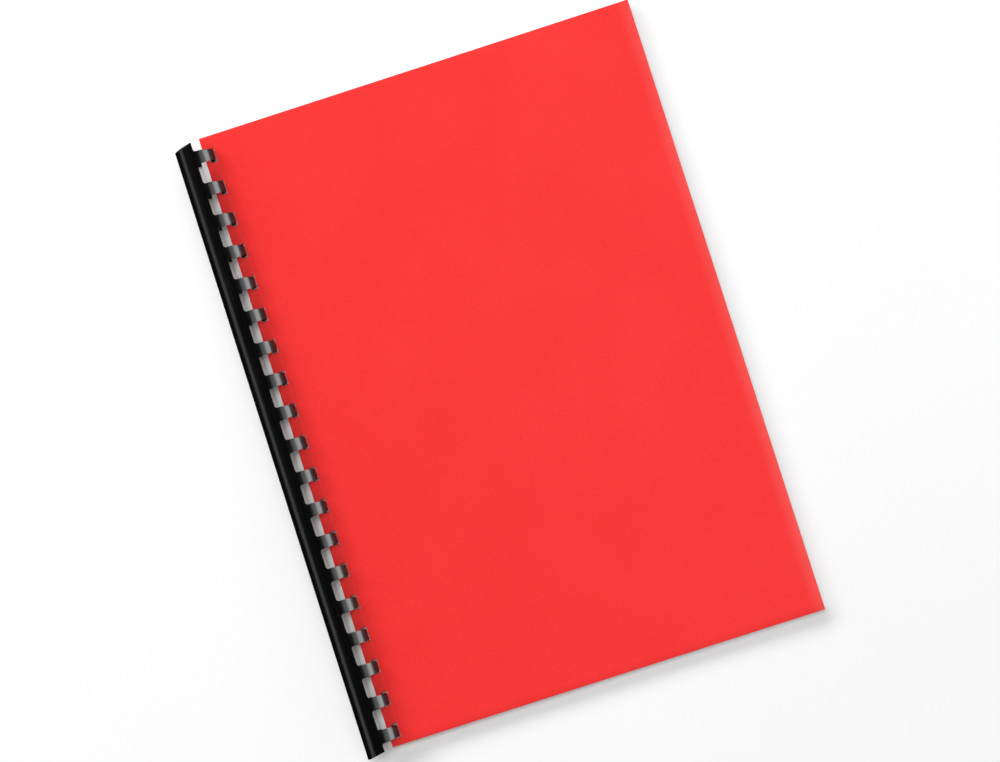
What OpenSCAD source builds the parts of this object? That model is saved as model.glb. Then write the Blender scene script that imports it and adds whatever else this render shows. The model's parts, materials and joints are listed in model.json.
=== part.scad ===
// Comb-bound booklet, lying closed on its back cover.
// Two card covers and a block of loose sheets are punched along one edge, and the fingers of a
// one-piece plastic comb curl through the holes. The leaves open about the comb's axis.
// +X runs from the binding to the fore edge, +Y to the head of the page, and +Z up.

/* [Page] */
// Width of a leaf, from its binding edge to its fore edge
page_w = 210; // [180:1:230]
// Height of a leaf, from foot to head
page_h = 297; // [292:1:310]

/* [Leaves] */
// Number of sheets between the covers
sheet_count = 40; // [5:1:50]
// Thickness of one sheet
sheet_t = 0.1; // [0.08:0.01:0.12]
// Thickness of a cover
cover_t = 0.3; // [0.2:0.05:0.4]
// Air left between neighbouring leaves
leaf_gap = 0.02; // [0.01:0.005:0.03]
// Height of the back cover's underside above the ground, beside the comb
back_lift = 1.3; // [1.1:0.1:2]
// Step between the groups that the leaves' binding edges are knocked up into
terrace = 0.9; // [0.2:0.1:0.9]

/* [Punched holes] */
// Size of a hole along the binding edge
hole_w = 6.6; // [6.6:0.1:9]
// Size of a hole across the binding edge
hole_d = 3; // [3:0.1:3.5]
// Paper left between a hole and the binding edge
hole_margin = 2.3; // [2:0.1:2.5]
// Play between the outside of a ring and the far edge of a hole
hole_play = 0.35; // [0.3:0.05:0.4]

/* [Cover score] */
// Distance from the holes to the score line that lets a cover fold
score_offset = 0.3; // [0.2:0.1:2]
// Width of the score line
score_w = 0.5; // [0.3:0.1:1]
// Depth of the score line
score_depth = 0.06; // [0.03:0.01:0.15]

/* [Comb] */
// Number of rings
ring_count = 19; // [10:1:19]
// Distance between rings
ring_pitch = 15.6; // [14:0.05:15.6]
// Distance from the page's centre to the middle ring, toward the foot
ring_shift = 1.3; // [0:0.1:1.5]
// Outer diameter of a ring
ring_d = 17.5; // [16:0.5:20]
// Thickness of the plastic
comb_t = 0.5; // [0.4:0.05:0.5]
// Width of a finger where it leaves the spine
finger_root_w = 6.2; // [6:0.1:6.3]
// Width of a finger beyond the front of its ring
finger_w = 5.2; // [5:0.1:6]
// Length of the spine past the last ring at the head, along its upper edge
spine_head = 7.6; // [5:0.1:8]
// Length of the spine past the last ring at the foot, along its upper edge
spine_foot = 6.9; // [5:0.1:8]
// How much further toward the foot the outer side of the spine's ends is cut
spine_slant = 1.8; // [0:0.1:2.4]

/* [Hidden] */
$fn = 96;
// Angles round the comb's axis in degrees, from +X toward +Z
SPINE_TOP = 87;
SPINE_LOW = 193;
TUCK_FROM = 206;
TUCK_TO = 194.5;
FINGER_TIP = 172;
FULL_TURN = 360;
// Angle between the corners of a finger tip, which is bent in short flats
TIP_STEP = 7.5;
// Room between a tucked finger tip and the spine that covers it
TIP_ROOM = 0.07;
// How far a cutting shape runs past what it cuts
CUT = 1;

ring_r = ring_d / 2;
finger_r = ring_r - comb_t / 2;
tip_r = finger_r - comb_t - TIP_ROOM;

// Heights of the leaves' middles, measured from the comb's axis
back_h = back_lift + cover_t / 2 - ring_r;
sheet_pitch = sheet_t + leaf_gap;
block_base_h = back_h + cover_t / 2 + leaf_gap + sheet_t / 2;
block_top_h = block_base_h + (sheet_count - 1) * sheet_pitch;
front_h = block_top_h + sheet_t / 2 + leaf_gap + cover_t / 2;

// The nearest that the hole row of a leaf at height h and of thickness t can come to the comb
function nearest_x(h, t) = sqrt(pow(ring_r, 2) - pow(h + t / 2, 2)) + hole_play - hole_d / 2;
front_x = nearest_x(front_h, cover_t);

// Where that hole row sits once the leaves are knocked up into groups, counted from the front cover
function hole_x(h, t) = front_x - terrace * floor((front_x - nearest_x(h, t)) / terrace);
function edge_x(x) = x - hole_d / 2 - hole_margin;
function ring_y(i) = (i - (ring_count - 1) / 2) * ring_pitch - ring_shift;

// The leaves tip about the comb's axis until the back cover's fore edge meets the ground
back_fore_x = edge_x(hole_x(back_h, cover_t)) + page_w;
back_under_h = ring_r - back_lift;
leaf_tilt = asin(ring_r / norm([back_fore_x, back_under_h])) - atan(back_under_h / back_fore_x);

// The origin is under the middle of the whole booklet
front_fore_x = edge_x(front_x) + page_w;
right_reach = front_fore_x * cos(leaf_tilt) + (front_h + cover_t / 2) * sin(leaf_tilt);
comb_head = ring_y(ring_count - 1) + spine_head;
comb_foot = ring_y(0) - spine_foot - spine_slant;
axis_x = (ring_r - right_reach) / 2;
page_y = -(max(page_h / 2, comb_head) + min(-page_h / 2, comb_foot)) / 2;

// Sheets are numbered from the front cover to the back cover
function two_digits(i) = str(i < 10 ? "0" : "", i);
function sheet_name(i) = str("sheet_", two_digits(i));
function sheet_h(i) = block_top_h - (i - 1) * sheet_pitch;

SHEETS = [for (i = [1 : sheet_count]) sheet_name(i)];

// Puts a child drawn about the comb's axis in its place in the booklet
module on_comb_axis() {
    translate([axis_x, page_y, ring_r])
        children();
}

// One punched leaf whose middle is at height h and whose hole row is at x
module leaf(h, x, t) {
    on_comb_axis()
        rotate([0, leaf_tilt, 0])
            translate([0, 0, h - t / 2])
                linear_extrude(t)
                    difference() {
                        translate([edge_x(x), -page_h / 2])
                            square([page_w, page_h]);
                        for (i = [0 : ring_count - 1])
                            translate([x, ring_y(i)])
                                square([hole_d, hole_w], center = true);
                    }
}

// The shallow groove beside a cover's holes, cut into its outer face at height h
module score_line(h, x) {
    on_comb_axis()
        rotate([0, leaf_tilt, 0])
            translate([x + hole_d / 2 + score_offset, -page_h / 2 - CUT, h - score_depth])
                cube([score_w, page_h + 2 * CUT, 2 * score_depth]);
}

// A cover, with side = 1 where its outer face looks up and side = -1 where it looks down
module cover(h, side) {
    x = hole_x(h, cover_t);
    difference() {
        leaf(h, x, cover_t);
        score_line(h + side * cover_t / 2, x);
    }
}

// A band of plastic bent round the comb's axis
module band(r, from, to, width) {
    rotate([90, 0, 0])
        rotate_extrude(angle = to - from, start = from)
            translate([r - comb_t / 2, -width / 2])
                square([comb_t, width]);
}

function polar(r, angle) = [r * cos(angle), r * sin(angle)];

function backwards(points) = [for (i = [len(points) - 1 : -1 : 0]) points[i]];

// One side of the finger tip's outline, at a distance from the middle of the plastic
function tip_side(offset) = concat(
    [polar(finger_r + offset, TUCK_FROM)],
    [for (angle = [TUCK_TO : -TIP_STEP : FINGER_TIP]) polar(tip_r + offset, angle)]
);

// The last stretch of a finger, which bends inward and runs under the spine
module finger_tip() {
    rotate([90, 0, 0])
        linear_extrude(finger_w, center = true)
            polygon(concat(tip_side(comb_t / 2), backwards(tip_side(-comb_t / 2))));
}

// The plan outline of a finger's upper half, which narrows from its root to the front
module finger_plan() {
    narrow_x = ring_r - comb_t;
    polygon([
        [-CUT, -finger_root_w / 2],
        [narrow_x, -finger_w / 2],
        [ring_r + CUT, -finger_w / 2],
        [ring_r + CUT, finger_w / 2],
        [narrow_x, finger_w / 2],
        [-CUT, finger_root_w / 2]
    ]);
}

module finger() {
    intersection() {
        band(finger_r, 0, SPINE_TOP, finger_root_w);
        linear_extrude(ring_r + CUT)
            finger_plan();
    }
    band(finger_r, TUCK_FROM, FULL_TURN, finger_w);
    finger_tip();
}

// The closed back of the comb, with both ends cut at the same slant
module spine() {
    intersection() {
        band(finger_r, SPINE_TOP, SPINE_LOW, 2 * page_h);
        linear_extrude(2 * ring_d, center = true)
            polygon([
                [CUT, comb_foot + spine_slant],
                [CUT, comb_head],
                [0, comb_head],
                [-ring_r, comb_head - spine_slant],
                [-ring_r, comb_foot],
                [0, comb_foot + spine_slant]
            ]);
    }
}

module comb() {
    color("#141517")
        on_comb_axis() {
            spine();
            for (i = [0 : ring_count - 1])
                translate([0, ring_y(i), 0])
                    finger();
        }
}

module front_cover() {
    color("#fa3e3e")
        cover(front_h, 1);
}

module back_cover() {
    color("#fa3e3e")
        cover(back_h, -1);
}

module sheet(i) {
    color("#fbfbfa")
        leaf(sheet_h(i), hole_x(sheet_h(i), sheet_t), sheet_t);
}

front_cover();
back_cover();
comb();
for (i = [1 : sheet_count])
    sheet(i);
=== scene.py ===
"""A comb-bound booklet lying closed on a pale floor, seen from almost straight above.

The comb and both covers are modelled here in detail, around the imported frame. The sheets keep
their CAD shapes and get a paper material. A leaf is a cover or a sheet. Lengths are in metres,
in the frame of the CAD part: +X from the comb to the fore edge, +Y to the head, and +Z up.
"""

import json
import math

import bmesh
import bpy
from mathutils import Matrix, Vector, noise


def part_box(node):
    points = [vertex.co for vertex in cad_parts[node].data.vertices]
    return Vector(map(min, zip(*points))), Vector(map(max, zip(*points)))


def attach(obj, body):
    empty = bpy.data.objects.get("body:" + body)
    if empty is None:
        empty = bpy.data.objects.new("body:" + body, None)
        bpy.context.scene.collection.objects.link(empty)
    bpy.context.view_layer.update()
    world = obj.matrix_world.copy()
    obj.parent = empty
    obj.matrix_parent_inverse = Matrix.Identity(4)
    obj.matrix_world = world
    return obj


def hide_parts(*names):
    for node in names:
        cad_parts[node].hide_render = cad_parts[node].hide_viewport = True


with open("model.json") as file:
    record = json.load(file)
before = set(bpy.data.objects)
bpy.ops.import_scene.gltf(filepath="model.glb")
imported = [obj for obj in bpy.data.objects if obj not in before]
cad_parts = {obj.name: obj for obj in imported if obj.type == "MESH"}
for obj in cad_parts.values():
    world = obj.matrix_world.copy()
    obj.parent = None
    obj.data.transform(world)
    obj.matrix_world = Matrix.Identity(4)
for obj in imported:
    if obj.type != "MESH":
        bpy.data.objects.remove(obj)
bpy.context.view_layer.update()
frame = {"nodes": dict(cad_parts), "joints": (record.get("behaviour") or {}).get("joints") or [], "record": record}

MM = 0.001
FULL_TURN = 360
QUARTER_TURN = 90

# The comb's bends, the same as the CAD part's, in degrees round its axis from +X toward +Z
SPINE_TOP = 87
SPINE_LOW = 193
TUCK_FROM = 206
TUCK_TO = 194.5
FINGER_TIP = 172

# The comb's sizes, which are the CAD part's or just inside them
PLASTIC_T = 0.5 * MM
PLASTIC_EDGE_ROUND = 0.1 * MM
ROOT_HALF = 3.1 * MM
ROOT_FILLET = 1.1 * MM
FRONT_HALF = 2.5 * MM
TIP_HALF = 2.4 * MM
TIP_ROUND = 1.6 * MM
TIP_INSET = 0.57 * MM
SPINE_HEAD = 7.6 * MM
SPINE_FOOT = 6.9 * MM
SPINE_SLANT = 1.8 * MM

# How finely the comb is meshed: quads round the spine and across a finger, the longest quad
# along the spine, and degrees between rows along a finger and round its fillet and tip
SPINE_STEPS = 18
FINGER_ACROSS = 8
SPINE_ROW_STEP = 2 * MM
FINGER_STEP = 4
CORNER_STEP = 15

# Covers. The front one curls up at its free corners and, by a share of that, along its fore edge.
CARD_EDGE_ROUND = 0.06 * MM
CREASE_DEPTH = 0.06 * MM
CORNER_CURL = 0.9 * MM
EDGE_CURL_SHARE = 0.35
WAVE_HEIGHT = 0.12 * MM
WAVE_SCALE = 9
WAVE_SLICE = 0.5

# How finely the covers are meshed: across them beside the holes and beyond the crease, and along
HOLE_STEP = 0.8 * MM
PANEL_STEP = 6 * MM
ALONG_STEP = 2.5 * MM

# Colours, as linear RGB or one grey number, each for the low and the high end of a noise
CARD_REDS = ((0.93, 0.025, 0.023), (0.96, 0.031, 0.029))
PLASTIC_BLACKS = (0.0015, 0.003)
PAPER_WHITES = ((0.93, 0.93, 0.925), (0.97, 0.97, 0.965))
FLOOR_WHITES = (0.965, 0.98)
# A painted highlight lightens the card in a band this wide along its fore edge
FORE_HIGHLIGHT_BAND = 7 * MM
FORE_HIGHLIGHT_RED = (0.98, 0.085, 0.08, 1)

# Camera angles are in degrees
CAMERA_DISTANCE = 1.5
CAMERA_YAW = -17.875
CAMERA_PITCH = 1.25
CAMERA_ROLL = 2.29
CAMERA_TARGET = Vector((0.25 * MM, -0.96 * MM, 0))
VIEW_WIDTH = 0.46596
SENSOR_WIDTH_MM = 36

FLOOR_HALF = 1.5
FLOOR_SEGMENTS = 4
SURROUND_LIGHT = 0.38

# The input and output sockets of a Mix node that mixes colours
MIX_FACTOR, MIX_A, MIX_B = 0, 6, 7
MIX_RESULT = 2

COMB_AXIS = Vector(frame["joints"][0]["pos_m"])
MID_R = COMB_AXIS.z - PLASTIC_T / 2
REST_NORMAL = Vector(frame["record"]["mounts"][0]["axis"])
LEAF_TILT = math.atan2(-REST_NORMAL.x, -REST_NORMAL.z)
SHEETS = sorted(n for n in frame["nodes"] if n.startswith("sheet_"))


def leaf_space():
    """The matrix to the row frame from the leaves' flat frame, whose origin is on the comb's axis."""
    low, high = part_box("front_cover")
    middle = Vector((COMB_AXIS.x, (low.y + high.y) / 2, COMB_AXIS.z))
    return Matrix.Translation(middle) @ Matrix.Rotation(LEAF_TILT, 4, "Y")


LEAF_SPACE = leaf_space()


def distinct(values, apart=0.1 * MM):
    """The values in order, with near copies dropped."""
    kept = []
    for v in sorted(values):
        if not kept or v - kept[-1] > apart:
            kept.append(v)
    return kept


def refined(lines, step):
    """The lines with more between them wherever they are further apart than step."""
    out = [lines[0]]
    for a, b in zip(lines, lines[1:]):
        parts = max(1, round((b - a) / step))
        out += [a + (b - a) * (k + 1) / parts for k in range(parts)]
    return out


def leaf_lines(node):
    """A CAD leaf in the flat frame: its edges across and along, and its lower and upper face."""
    back = LEAF_SPACE.inverted()
    points = [back @ v.co for v in frame["nodes"][node].data.vertices]
    heights = [p.z for p in points]
    return distinct(p.x for p in points), distinct(p.y for p in points), min(heights), max(heights)


def smooth(t):
    """Eases from 0 to 1 as t goes from 0 to 1."""
    t = min(max(t, 0), 1)
    return t * t * (3 - 2 * t)


# ---------------------------------------------------------------- node helpers


def material(name):
    m = bpy.data.materials.new(name)
    m.use_nodes = True
    nodes = m.node_tree.nodes
    return m, nodes, m.node_tree.links, nodes["Principled BSDF"]


def object_coords(nodes, links, scale=(1, 1, 1)):
    where = nodes.new("ShaderNodeTexCoord")
    mapping = nodes.new("ShaderNodeMapping")
    mapping.inputs["Scale"].default_value = scale
    links.new(where.outputs["Object"], mapping.inputs["Vector"])
    return mapping.outputs["Vector"]


def noise_of(nodes, links, coords, scale, detail=2, roughness=0.5):
    n = nodes.new("ShaderNodeTexNoise")
    n.inputs["Scale"].default_value = scale
    n.inputs["Detail"].default_value = detail
    n.inputs["Roughness"].default_value = roughness
    links.new(coords, n.inputs["Vector"])
    return n.outputs["Fac"]


def pebbles_of(nodes, links, coords, scale, smoothness):
    """Distance from the middle of the nearest pebble."""
    v = nodes.new("ShaderNodeTexVoronoi")
    v.feature = "SMOOTH_F1"
    v.inputs["Scale"].default_value = scale
    v.inputs["Smoothness"].default_value = smoothness
    links.new(coords, v.inputs["Vector"])
    return v.outputs["Distance"]


def spread(nodes, links, fac, values, start=0.3, end=0.7):
    """Goes from the first value to the second, each a grey or RGB, as fac goes from start to end."""
    ramp = nodes.new("ShaderNodeValToRGB")
    for stop, place, value in zip(ramp.color_ramp.elements, (start, end), values):
        rgb = (value,) * 3 if isinstance(value, (int, float)) else value
        stop.position = place
        stop.color = (*rgb, 1)
    links.new(fac, ramp.inputs["Fac"])
    return ramp.outputs["Color"]


def blend_colours(nodes, links, a, b, fac, mode="MIX"):
    """Blends b into a. Each of a, b and fac is a socket to link or a plain value."""
    m = nodes.new("ShaderNodeMix")
    m.data_type = "RGBA"
    m.blend_type = mode
    for place, value in ((MIX_FACTOR, fac), (MIX_A, a), (MIX_B, b)):
        if isinstance(value, bpy.types.NodeSocket):
            links.new(value, m.inputs[place])
        else:
            m.inputs[place].default_value = value
    return m.outputs[MIX_RESULT]


def bump(nodes, links, height, strength, distance, under=None):
    """A bumped normal, on top of the bumps under it where there are any."""
    b = nodes.new("ShaderNodeBump")
    b.inputs["Strength"].default_value = strength
    b.inputs["Distance"].default_value = distance
    links.new(height, b.inputs["Height"])
    if under is not None:
        links.new(under, b.inputs["Normal"])
    return b.outputs["Normal"]


def near_edge(nodes, links, coords, patches, start, edge):
    """How far toward the fore edge a point lies, from 0 at start, broken up by the patches."""
    split = nodes.new("ShaderNodeSeparateXYZ")
    links.new(coords, split.inputs["Vector"])
    reach = nodes.new("ShaderNodeMapRange")
    reach.interpolation_type = "SMOOTHSTEP"
    reach.inputs["From Min"].default_value = start
    reach.inputs["From Max"].default_value = edge
    links.new(split.outputs["X"], reach.inputs["Value"])
    broken = nodes.new("ShaderNodeMath")
    broken.operation = "MULTIPLY"
    links.new(reach.outputs["Result"], broken.inputs[0])
    links.new(patches, broken.inputs[1])
    return broken.outputs["Value"]


# ---------------------------------------------------------------- materials


def red_card():
    """Pebbled card, a little cloudy in its dye, with a painted highlight along the fore edge."""
    m, nodes, links, shader = material("red_card")
    coords = object_coords(nodes, links)
    clouds = noise_of(nodes, links, coords, scale=22, detail=3)
    pebbles = pebbles_of(nodes, links, coords, scale=900, smoothness=0.6)
    fibres = noise_of(nodes, links, coords, scale=2600, detail=4, roughness=0.6)

    dye = spread(nodes, links, clouds, CARD_REDS)
    creases = spread(nodes, links, pebbles, (1.0, 0.95), start=0.25, end=0.75)
    plain = blend_colours(nodes, links, dye, creases, 1.0, "MULTIPLY")
    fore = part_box("front_cover")[1].x
    # Painted highlight: the red is lightened in cloudy patches over a band along the fore edge
    fore_highlight = near_edge(nodes, links, coords, clouds, fore - FORE_HIGHLIGHT_BAND, fore)
    links.new(blend_colours(nodes, links, plain, FORE_HIGHLIGHT_RED, fore_highlight), shader.inputs["Base Color"])

    links.new(spread(nodes, links, fibres, (0.55, 0.68)), shader.inputs["Roughness"])
    grain = bump(nodes, links, pebbles, strength=0.4, distance=0.12 * MM)
    fuzz = bump(nodes, links, fibres, strength=0.3, distance=0.05 * MM, under=grain)
    links.new(fuzz, shader.inputs["Normal"])
    shader.inputs["Specular IOR Level"].default_value = 0.15
    return m


def black_plastic():
    """Thin black plastic, drawn out along the comb, so its faint lines run that way."""
    m, nodes, links, shader = material("black_plastic")
    along = object_coords(nodes, links, (1, 0.02, 1))
    lines = noise_of(nodes, links, along, scale=2200, detail=3, roughness=0.6)
    grain = noise_of(nodes, links, object_coords(nodes, links), scale=3000)
    links.new(spread(nodes, links, lines, PLASTIC_BLACKS), shader.inputs["Base Color"])
    links.new(spread(nodes, links, lines, (0.2, 0.3)), shader.inputs["Roughness"])
    drawn = bump(nodes, links, lines, strength=0.12, distance=0.02 * MM)
    grained = bump(nodes, links, grain, strength=0.06, distance=0.01 * MM, under=drawn)
    links.new(grained, shader.inputs["Normal"])
    shader.inputs["Specular IOR Level"].default_value = 0.2
    return m


def white_paper():
    """Uncoated office paper, with its fibres just showing."""
    m, nodes, links, shader = material("white_paper")
    coords = object_coords(nodes, links)
    fibres = noise_of(nodes, links, coords, scale=1800, detail=4, roughness=0.65)
    links.new(spread(nodes, links, fibres, PAPER_WHITES), shader.inputs["Base Color"])
    links.new(spread(nodes, links, fibres, (0.75, 0.9)), shader.inputs["Roughness"])
    fuzz = bump(nodes, links, fibres, strength=0.15, distance=0.02 * MM)
    links.new(fuzz, shader.inputs["Normal"])
    shader.inputs["Specular IOR Level"].default_value = 0.2
    return m


def floor_paint():
    """Nearly white matt paint, very faintly mottled."""
    m, nodes, links, shader = material("floor_paint")
    mottle = noise_of(nodes, links, object_coords(nodes, links), scale=6)
    links.new(spread(nodes, links, mottle, FLOOR_WHITES), shader.inputs["Base Color"])
    shader.inputs["Roughness"].default_value = 0.8
    shader.inputs["Specular IOR Level"].default_value = 0.1
    return m


# ---------------------------------------------------------------- geometry


def new_object(name, bm, mat):
    bmesh.ops.recalc_face_normals(bm, faces=bm.faces)
    mesh = bpy.data.meshes.new(name)
    bm.to_mesh(mesh)
    bm.free()
    mesh.materials.append(mat)
    for p in mesh.polygons:
        p.use_smooth = True
    o = bpy.data.objects.new(name, mesh)
    bpy.context.scene.collection.objects.link(o)
    return o


def thicken(o, thickness, edge_round):
    """Gives a flat or bent surface its thickness, half on each side, and softens its cut edges."""
    s = o.modifiers.new("thickness", "SOLIDIFY")
    s.thickness = thickness
    s.offset = 0
    s.use_even_offset = True
    b = o.modifiers.new("cut_edges", "BEVEL")
    b.width = edge_round
    b.segments = 2
    b.limit_method = "ANGLE"
    b.angle_limit = math.radians(50)


def ring_rows():
    """The middle of each ring along the comb, from the holes in the front cover."""
    _, along, _, _ = leaf_lines("front_cover")
    edges = along[1:-1]
    centre = LEAF_SPACE.translation.y
    return [centre + (a + b) / 2 for a, b in zip(edges[::2], edges[1::2])]


RING_ROWS = ring_rows()
# How far a finger turns from the spine's upper edge to its own tip, in degrees
FINGER_TURN = SPINE_TOP + FULL_TURN - FINGER_TIP


def finger_radius(turn):
    """A finger's distance from the comb's axis after it has turned this far from the spine."""
    tuck_start = SPINE_TOP + FULL_TURN - TUCK_FROM
    tuck_end = SPINE_TOP + FULL_TURN - TUCK_TO
    return MID_R - TIP_INSET * smooth((turn - tuck_start) / (tuck_end - tuck_start))


def round_off(radius, run):
    """How far a rounded outline is from its square one, this run away from its end."""
    run = min(run, radius)
    return radius - math.sqrt(radius ** 2 - (radius - run) ** 2)


def finger_half_width(turn):
    """Half a finger's width after it has turned this far: filleted root, slow taper, round tip."""
    front = smooth(turn / SPINE_TOP)
    rest = smooth((turn - SPINE_TOP) / (FINGER_TURN - SPINE_TOP))
    half = ROOT_HALF + (FRONT_HALF - ROOT_HALF) * front + (TIP_HALF - FRONT_HALF) * rest
    half += round_off(ROOT_FILLET, MID_R * math.radians(turn))
    half -= round_off(TIP_ROUND, MID_R * math.radians(FINGER_TURN - turn))
    return half


def finger_turns():
    """The turns past its root where a finger has vertices, dense at the fillet and the tip."""
    fillet = math.degrees(ROOT_FILLET / MID_R)
    tip = math.degrees(TIP_ROUND / MID_R)
    corners = range(CORNER_STEP, QUARTER_TURN + 1, CORNER_STEP)
    root = [fillet * (1 - math.cos(math.radians(a))) for a in corners[:-1]]
    shank = refined([fillet, FINGER_TURN - tip], FINGER_STEP)
    end = [FINGER_TURN - tip * (1 - math.sin(math.radians(a))) for a in corners]
    return root + shank + end


def on_comb(angle, radius, y):
    a = math.radians(angle)
    return Vector((COMB_AXIS.x + radius * math.cos(a), y, COMB_AXIS.z + radius * math.sin(a)))


def across_finger(y, half_width):
    """The places across a finger, from its foot side to its head side, where it has a vertex."""
    return [y + half_width * (2 * k / FINGER_ACROSS - 1) for k in range(FINGER_ACROSS + 1)]


def spine_rows():
    """The places along the spine's upper edge where it has a vertex, with those of every finger."""
    rows = [RING_ROWS[0] - SPINE_FOOT, RING_ROWS[-1] + SPINE_HEAD]
    for y in RING_ROWS:
        rows += across_finger(y, finger_half_width(0))
    return refined(distinct(rows), SPINE_ROW_STEP)


def slanted(y, depth, row_end):
    """Moves a place past the end fingers toward the foot, more as depth goes from 0 to 1."""
    first = RING_ROWS[0] - finger_half_width(0)
    last = RING_ROWS[-1] + finger_half_width(0)
    share = 0
    if y > last:
        share = (y - last) / (row_end - last)
    if y < first:
        share = (first - y) / (first - row_end)
    return y - share * depth * SPINE_SLANT


def add_strip(bm, a, b):
    """Adds the quads between two rows of vertices."""
    for k in range(len(a) - 1):
        bm.faces.new((a[k], a[k + 1], b[k + 1], b[k]))


def add_spine(bm, rows):
    """Adds the spine's middle surface, and returns the vertices along its upper edge."""
    top = math.cos(math.radians(SPINE_TOP))
    spine = []
    for k in range(SPINE_STEPS + 1):
        angle = SPINE_TOP + (SPINE_LOW - SPINE_TOP) * k / SPINE_STEPS
        depth = min(1, top - math.cos(math.radians(angle)))
        places = [slanted(y, depth, rows[-1] if y > 0 else rows[0]) for y in rows]
        spine.append([bm.verts.new(on_comb(angle, MID_R, y)) for y in places])
    for a, b in zip(spine, spine[1:]):
        add_strip(bm, a, b)
    return spine[0]


def add_finger(bm, y, root):
    """Adds the middle surface of the finger on ring row y, which goes on from its root's vertices."""
    last = root
    for turn in finger_turns():
        places = across_finger(y, finger_half_width(turn))
        radius = finger_radius(turn)
        row = [bm.verts.new(on_comb(SPINE_TOP - turn, radius, place)) for place in places]
        add_strip(bm, last, row)
        last = row


def make_comb(mat):
    bm = bmesh.new()
    rows = spine_rows()
    edge = add_spine(bm, rows)
    for y in RING_ROWS:
        foot_side = y - finger_half_width(0)
        start = min(range(len(rows)), key=lambda k: abs(rows[k] - foot_side))
        add_finger(bm, y, edge[start:start + FINGER_ACROSS + 1])
    o = new_object("plastic_comb", bm, mat)
    thicken(o, PLASTIC_T, PLASTIC_EDGE_ROUND)
    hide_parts("comb")
    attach(o, "comb")


def card_lift(x, y, width, height):
    """How far the front cover stands off the sheets: it curls up a little at its free corners."""
    out = max(0, x / width)
    end = abs(2 * y / height)
    curl = CORNER_CURL * out ** 4 * (EDGE_CURL_SHARE + (1 - EDGE_CURL_SHARE) * end ** 3)
    ripple = noise.noise(Vector((x * WAVE_SCALE, y * WAVE_SCALE, WAVE_SLICE)))
    return curl + WAVE_HEIGHT * out * (1 + ripple)


def card_surface(node, is_front):
    """A cover's middle surface, with its holes left out and its crease pressed in, and its thickness."""
    across, along, low, high = leaf_lines(node)
    edge, hole_near, hole_far, crease_near, crease_far, fore = across
    xs = refined([edge, hole_near, hole_far, crease_near], HOLE_STEP)
    xs += [(crease_near + crease_far) / 2] + refined([crease_far, fore], PANEL_STEP)
    ys = refined(along, ALONG_STEP)
    holes = list(zip(along[1:-1:2], along[2:-1:2]))
    inward = -1 if is_front else 1

    def height(x, y):
        z = (low + high) / 2
        if is_front:
            z += card_lift(x - edge, y, fore - edge, along[-1] - along[0])
        if crease_near < x < crease_far:
            z += inward * CREASE_DEPTH
        return z

    def in_hole(x, y):
        return hole_near < x < hole_far and any(a < y < b for a, b in holes)

    bm = bmesh.new()
    grid = [[bm.verts.new(LEAF_SPACE @ Vector((x, y, height(x, y)))) for y in ys] for x in xs]
    for i in range(len(xs) - 1):
        for j in range(len(ys) - 1):
            if not in_hole((xs[i] + xs[i + 1]) / 2, (ys[j] + ys[j + 1]) / 2):
                bm.faces.new((grid[i][j], grid[i + 1][j], grid[i + 1][j + 1], grid[i][j + 1]))
    loose = [v for v in bm.verts if not v.link_faces]
    bmesh.ops.delete(bm, geom=loose, context="VERTS")
    return bm, high - low


def make_cover(name, node, mat, is_front):
    bm, thickness = card_surface(node, is_front)
    o = new_object(name, bm, mat)
    thicken(o, thickness, CARD_EDGE_ROUND)
    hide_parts(node)
    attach(o, node)


def dress_sheets(mat):
    for name in SHEETS:
        for s in frame["nodes"][name].material_slots:
            s.material = mat


# ---------------------------------------------------------------- stage


def make_camera():
    """Looks down from a long way off, with the booklet turned on the floor below."""
    data = bpy.data.cameras.new("camera")
    data.sensor_width = SENSOR_WIDTH_MM
    data.lens = data.sensor_width * CAMERA_DISTANCE / VIEW_WIDTH
    camera = bpy.data.objects.new("camera", data)
    turn = (
        Matrix.Rotation(math.radians(CAMERA_YAW), 4, "Z")
        @ Matrix.Rotation(math.radians(CAMERA_PITCH), 4, "X")
        @ Matrix.Rotation(math.radians(CAMERA_ROLL), 4, "Y")
    )
    back = turn.to_3x3() @ Vector((0, 0, CAMERA_DISTANCE))
    camera.matrix_world = Matrix.Translation(CAMERA_TARGET + back) @ turn
    bpy.context.scene.collection.objects.link(camera)
    bpy.context.scene.camera = camera


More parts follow.
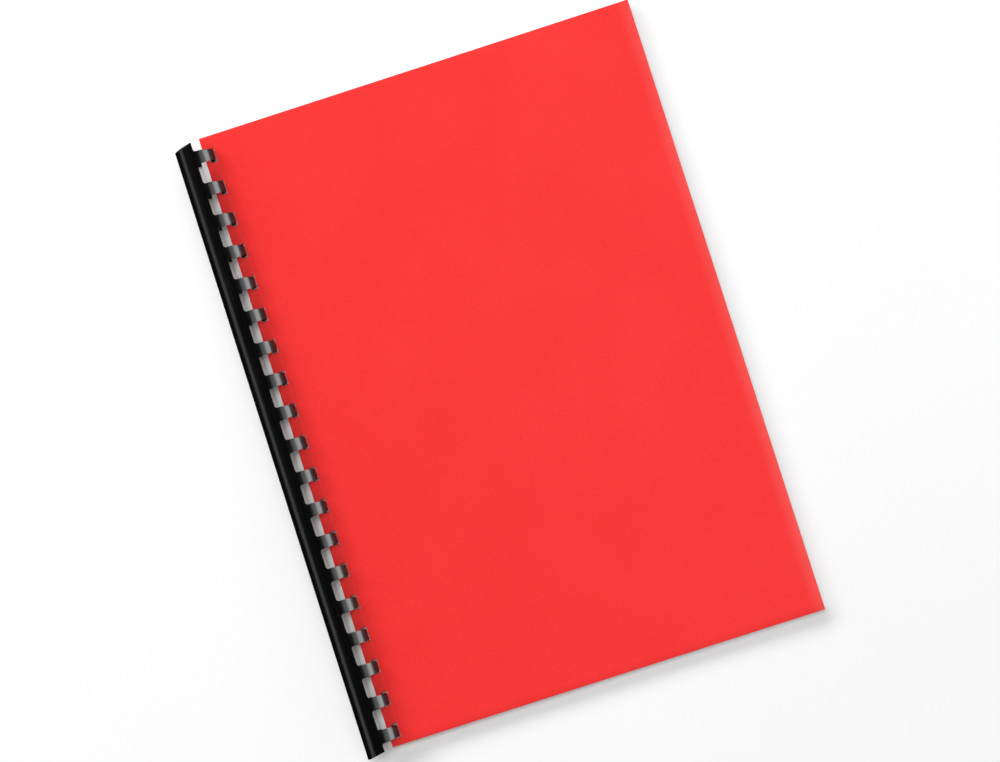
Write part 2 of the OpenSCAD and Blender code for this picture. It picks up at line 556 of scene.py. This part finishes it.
def make_floor():
    """A pale floor that doesn't show in mirror reflections, so that the comb's sides stay black."""
    bm = bmesh.new()
    bmesh.ops.create_grid(bm, x_segments=FLOOR_SEGMENTS, y_segments=FLOOR_SEGMENTS, size=FLOOR_HALF)
    floor = new_object("floor", bm, floor_paint())
    floor.visible_glossy = False


def softbox(name, azimuth, elevation, distance, width, height, radiance, matt=True, glints=True):
    """An area light aimed at the booklet. Azimuth 0 is the fore edge's side and 90 the head's."""
    data = bpy.data.lights.new(name, "AREA")
    data.shape = "RECTANGLE"
    data.size = width
    data.size_y = height
    data.energy = radiance * math.pi * width * height
    light = bpy.data.objects.new(name, data)
    a, e = math.radians(azimuth), math.radians(elevation)
    place = distance * Vector((math.cos(e) * math.cos(a), math.cos(e) * math.sin(a), math.sin(e)))
    light.location = place
    light.rotation_euler = place.to_track_quat("Z", "Y").to_euler()
    light.visible_camera = False
    light.visible_diffuse = matt
    light.visible_glossy = glints
    bpy.context.scene.collection.objects.link(light)


def make_surround():
    """An even white surround, which doesn't show in mirror reflections either."""
    world = bpy.data.worlds.new("world")
    world.use_nodes = True
    surround = world.node_tree.nodes["Background"]
    surround.inputs["Color"].default_value = (1, 1, 1, 1)
    surround.inputs["Strength"].default_value = SURROUND_LIGHT
    bpy.context.scene.world = world
    world.cycles_visibility.glossy = False


def make_lights():
    """A key light past the head, one light overhead, and three panels that only show as glints."""
    softbox(
        "key_box", azimuth=112, elevation=36, distance=3.0, width=3.9, height=1.35, radiance=4.5,
    )
    softbox(
        "overhead_box", azimuth=95, elevation=80, distance=3.0, width=0.95, height=0.95, radiance=9.0,
        glints=False,
    )
    softbox(
        "fore_panel", azimuth=0, elevation=50, distance=2.0, width=1.4, height=1.0, radiance=5.0,
        matt=False,
    )
    softbox(
        "fore_strip", azimuth=0, elevation=18, distance=1.6, width=1.8, height=1.0, radiance=18.0,
        matt=False,
    )
    softbox(
        "spine_strip", azimuth=180, elevation=11, distance=1.6, width=6.0, height=0.55, radiance=2.5,
        matt=False,
    )
    bpy.context.scene.view_settings.view_transform = "Standard"


make_camera()
make_floor()
make_surround()
make_lights()
card = red_card()
make_comb(black_plastic())
make_cover("front_card", "front_cover", card, is_front=True)
make_cover("back_card", "back_cover", card, is_front=False)
dress_sheets(white_paper())
